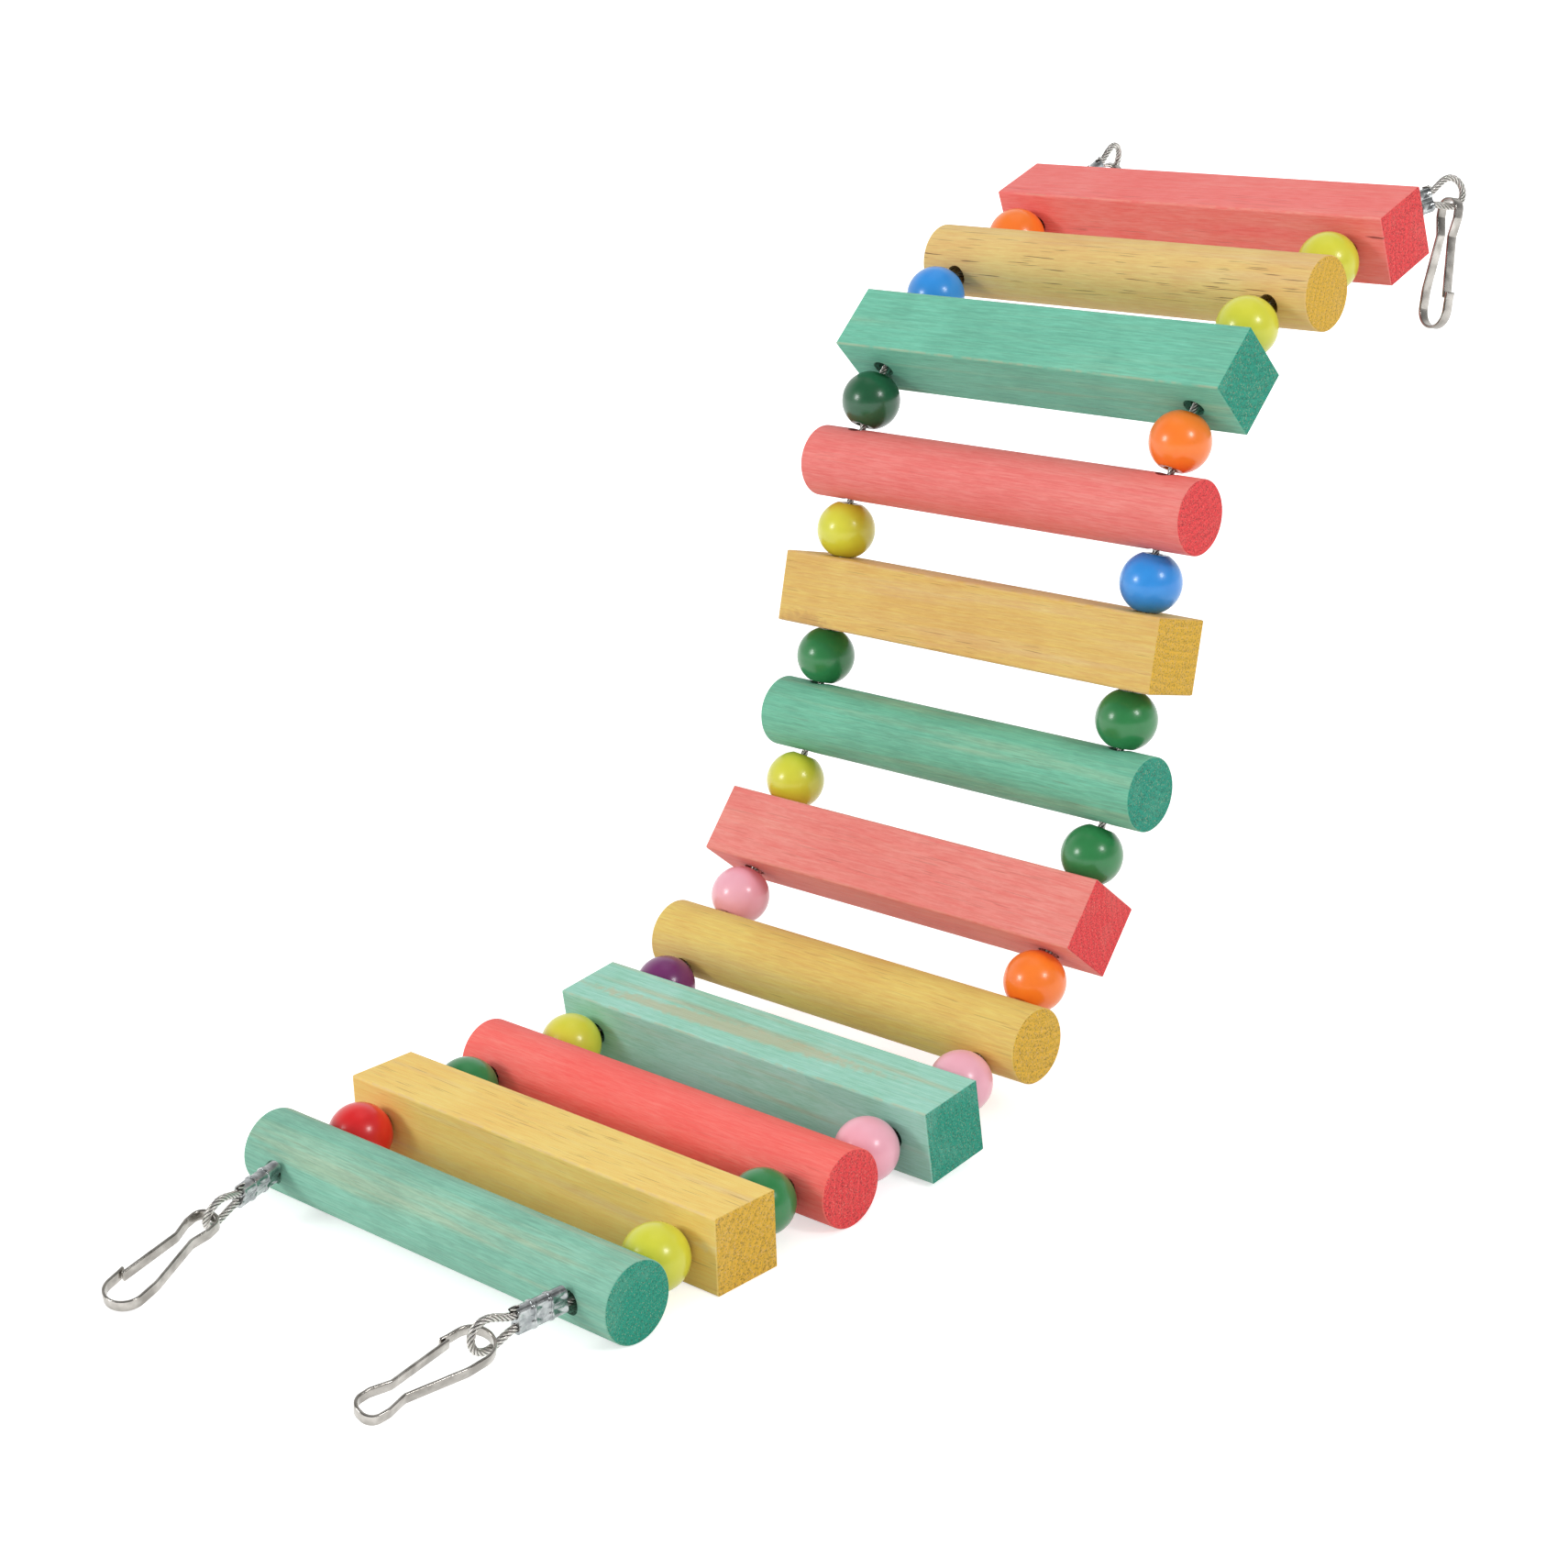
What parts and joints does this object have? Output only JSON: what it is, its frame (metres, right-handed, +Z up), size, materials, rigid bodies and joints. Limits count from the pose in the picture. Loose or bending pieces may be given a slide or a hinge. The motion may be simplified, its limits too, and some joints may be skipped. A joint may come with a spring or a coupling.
{
  "type": "bird ladder",
  "caption": "Hanging climbing ladder for cage birds: round and square dyed timber rungs spaced by painted beads on two wire ropes, with snap hooks at the ends.",
  "frame": {"origin": "middle of the footprint, at the level that the lowest rungs lie on", "axes": "+X along the rungs to the viewer's right, +Y up the ladder and away from the viewer, +Z up"},
  "size_m": [0.1428, 0.3975, 0.227],
  "materials": {
    "wood_coral": "stained pine, satin",
    "wood_yellow": "stained pine, satin",
    "wood_teal": "stained pine, satin",
    "bead_red": "gloss paint on turned wood",
    "bead_lime": "gloss paint on turned wood",
    "bead_green": "gloss paint on turned wood",
    "bead_pink": "gloss paint on turned wood",
    "bead_purple": "gloss paint on turned wood",
    "bead_orange": "gloss paint on turned wood",
    "bead_blue": "gloss paint on turned wood",
    "bead_dark_green": "gloss paint on turned wood",
    "rope_steel": "galvanised wire strands",
    "ferrule_aluminium": "pressed, bright",
    "hook_nickel": "nickel plate, polished"
  },
  "bodies": {
    "ladder": {"rung_01": "wood_teal", "rung_02": "wood_yellow", "rung_03": "wood_coral", "rung_04": "wood_teal", "rung_05": "wood_yellow", "rung_06": "wood_coral", "rung_07": "wood_teal", "rung_08": "wood_yellow", "rung_09": "wood_coral", "rung_10": "wood_teal", "rung_11": "wood_yellow", "rung_12": "wood_coral", "rope_left": "rope_steel", "rope_right": "rope_steel", "ferrule_bottom_left": "ferrule_aluminium", "ferrule_bottom_right": "ferrule_aluminium", "ferrule_top_left": "ferrule_aluminium", "ferrule_top_right": "ferrule_aluminium"},
    "hook_bottom_left": {"hook_bottom_left": "hook_nickel"},
    "hook_bottom_right": {"hook_bottom_right": "hook_nickel"},
    "hook_top_left": {"hook_top_left": "hook_nickel"},
    "hook_top_right": {"hook_top_right": "hook_nickel"},
    "bead_left_01": {"bead_left_01": "bead_red"},
    "bead_left_02": {"bead_left_02": "bead_green"},
    "bead_left_03": {"bead_left_03": "bead_lime"},
    "bead_left_04": {"bead_left_04": "bead_purple"},
    "bead_left_05": {"bead_left_05": "bead_pink"},
    "bead_left_06": {"bead_left_06": "bead_lime"},
    "bead_left_07": {"bead_left_07": "bead_green"},
    "bead_left_08": {"bead_left_08": "bead_lime"},
    "bead_left_09": {"bead_left_09": "bead_dark_green"},
    "bead_left_10": {"bead_left_10": "bead_blue"},
    "bead_left_11": {"bead_left_11": "bead_orange"},
    "bead_right_01": {"bead_right_01": "bead_lime"},
    "bead_right_02": {"bead_right_02": "bead_green"},
    "bead_right_03": {"bead_right_03": "bead_pink"},
    "bead_right_04": {"bead_right_04": "bead_pink"},
    "bead_right_05": {"bead_right_05": "bead_orange"},
    "bead_right_06": {"bead_right_06": "bead_green"},
    "bead_right_07": {"bead_right_07": "bead_green"},
    "bead_right_08": {"bead_right_08": "bead_blue"},
    "bead_right_09": {"bead_right_09": "bead_orange"},
    "bead_right_10": {"bead_right_10": "bead_lime"},
    "bead_right_11": {"bead_right_11": "bead_lime"}
  },
  "joints": [
    {"name": "hook_bottom_left_swing", "type": "hinge", "parent": "ladder", "child": "hook_bottom_left", "pos_m": [-0.04935, -0.16632, 0.00888], "axis": [0.4213, -0.1122, 0.9], "range_deg": [-75, 75]},
    {"name": "hook_bottom_right_swing", "type": "hinge", "parent": "ladder", "child": "hook_bottom_right", "pos_m": [0.04653, -0.16641, 0.009], "axis": [0.0273, -0.3711, 0.9282], "range_deg": [-65, 0]},
    {"name": "hook_top_left_swing", "type": "hinge", "parent": "ladder", "child": "hook_top_left", "pos_m": [-0.0505, 0.19276, 0.21814], "axis": [-0.1366, 0.988, 0.0722], "range_deg": [-75, 75]},
    {"name": "hook_top_right_swing", "type": "hinge", "parent": "ladder", "child": "hook_top_right", "pos_m": [0.06582, 0.19283, 0.2144], "axis": [0.3715, 0.9066, -0.2003], "range_deg": [-75, 75]},
    {"name": "bead_left_01_spin", "type": "hinge", "parent": "ladder", "child": "bead_left_01", "pos_m": [-0.05685, -0.11286, 0.01], "axis": [-0.0276, 0.9996, 0], "continuous": true},
    {"name": "bead_left_02_spin", "type": "hinge", "parent": "ladder", "child": "bead_left_02", "pos_m": [-0.05736, -0.07666, 0.01], "axis": [0, 1, 0], "continuous": true},
    {"name": "bead_left_03_spin", "type": "hinge", "parent": "ladder", "child": "bead_left_03", "pos_m": [-0.05638, -0.04031, 0.01054], "axis": [0.0547, 0.9967, 0.06], "continuous": true},
    {"name": "bead_left_04_spin", "type": "hinge", "parent": "ladder", "child": "bead_left_04", "pos_m": [-0.05634, -0.004, 0.01591], "axis": [-0.0541, 0.9582, 0.281], "continuous": true},
    {"name": "bead_left_05_spin", "type": "hinge", "parent": "ladder", "child": "bead_left_05", "pos_m": [-0.05834, 0.02907, 0.03238], "axis": [-0.054, 0.7889, 0.6121], "continuous": true},
    {"name": "bead_left_06_spin", "type": "hinge", "parent": "ladder", "child": "bead_left_06", "pos_m": [-0.05788, 0.05301, 0.06059], "axis": [0.0808, 0.4784, 0.8744], "continuous": true},
    {"name": "bead_left_07_spin", "type": "hinge", "parent": "ladder", "child": "bead_left_07", "pos_m": [-0.05587, 0.06535, 0.09514], "axis": [0.0275, 0.2676, 0.9631], "continuous": true},
    {"name": "bead_left_08_spin", "type": "hinge", "parent": "ladder", "child": "bead_left_08", "pos_m": [-0.05462, 0.07415, 0.13039], "axis": [0.0413, 0.2167, 0.9754], "continuous": true},
    {"name": "bead_left_09_spin", "type": "hinge", "parent": "ladder", "child": "bead_left_09", "pos_m": [-0.05288, 0.08421, 0.1659], "axis": [0.0537, 0.4798, 0.8758], "continuous": true},
    {"name": "bead_left_10_spin", "type": "hinge", "parent": "ladder", "child": "bead_left_10", "pos_m": [-0.05088, 0.11074, 0.1919], "axis": [0.0539, 0.8672, 0.495], "continuous": true},
    {"name": "bead_left_11_spin", "type": "hinge", "parent": "ladder", "child": "bead_left_11", "pos_m": [-0.04888, 0.14532, 0.20441], "axis": [0.055, 0.9524, 0.2998], "continuous": true},
    {"name": "bead_right_01_spin", "type": "hinge", "parent": "ladder", "child": "bead_right_01", "pos_m": [0.04915, -0.11286, 0.01], "axis": [-0.0276, 0.9996, 0], "continuous": true},
    {"name": "bead_right_02_spin", "type": "hinge", "parent": "ladder", "child": "bead_right_02", "pos_m": [0.04864, -0.07666, 0.01], "axis": [0, 1, 0], "continuous": true},
    {"name": "bead_right_03_spin", "type": "hinge", "parent": "ladder", "child": "bead_right_03", "pos_m": [0.04962, -0.04031, 0.01054], "axis": [0.0547, 0.9967, 0.06], "continuous": true},
    {"name": "bead_right_04_spin", "type": "hinge", "parent": "ladder", "child": "bead_right_04", "pos_m": [0.04966, -0.004, 0.01591], "axis": [-0.0541, 0.9582, 0.281], "continuous": true},
    {"name": "bead_right_05_spin", "type": "hinge", "parent": "ladder", "child": "bead_right_05", "pos_m": [0.04766, 0.02907, 0.03238], "axis": [-0.054, 0.7889, 0.6121], "continuous": true},
    {"name": "bead_right_06_spin", "type": "hinge", "parent": "ladder", "child": "bead_right_06", "pos_m": [0.04812, 0.05301, 0.06059], "axis": [0.0808, 0.4784, 0.8744], "continuous": true},
    {"name": "bead_right_07_spin", "type": "hinge", "parent": "ladder", "child": "bead_right_07", "pos_m": [0.05013, 0.06535, 0.09514], "axis": [0.0275, 0.2676, 0.9631], "continuous": true},
    {"name": "bead_right_08_spin", "type": "hinge", "parent": "ladder", "child": "bead_right_08", "pos_m": [0.05138, 0.07415, 0.13039], "axis": [0.0413, 0.2167, 0.9754], "continuous": true},
    {"name": "bead_right_09_spin", "type": "hinge", "parent": "ladder", "child": "bead_right_09", "pos_m": [0.05312, 0.08421, 0.1659], "axis": [0.0537, 0.4798, 0.8758], "continuous": true},
    {"name": "bead_right_10_spin", "type": "hinge", "parent": "ladder", "child": "bead_right_10", "pos_m": [0.05512, 0.11074, 0.1919], "axis": [0.0539, 0.8672, 0.495], "continuous": true},
    {"name": "bead_right_11_spin", "type": "hinge", "parent": "ladder", "child": "bead_right_11", "pos_m": [0.05712, 0.14532, 0.20441], "axis": [0.055, 0.9524, 0.2998], "continuous": true}
  ]
}
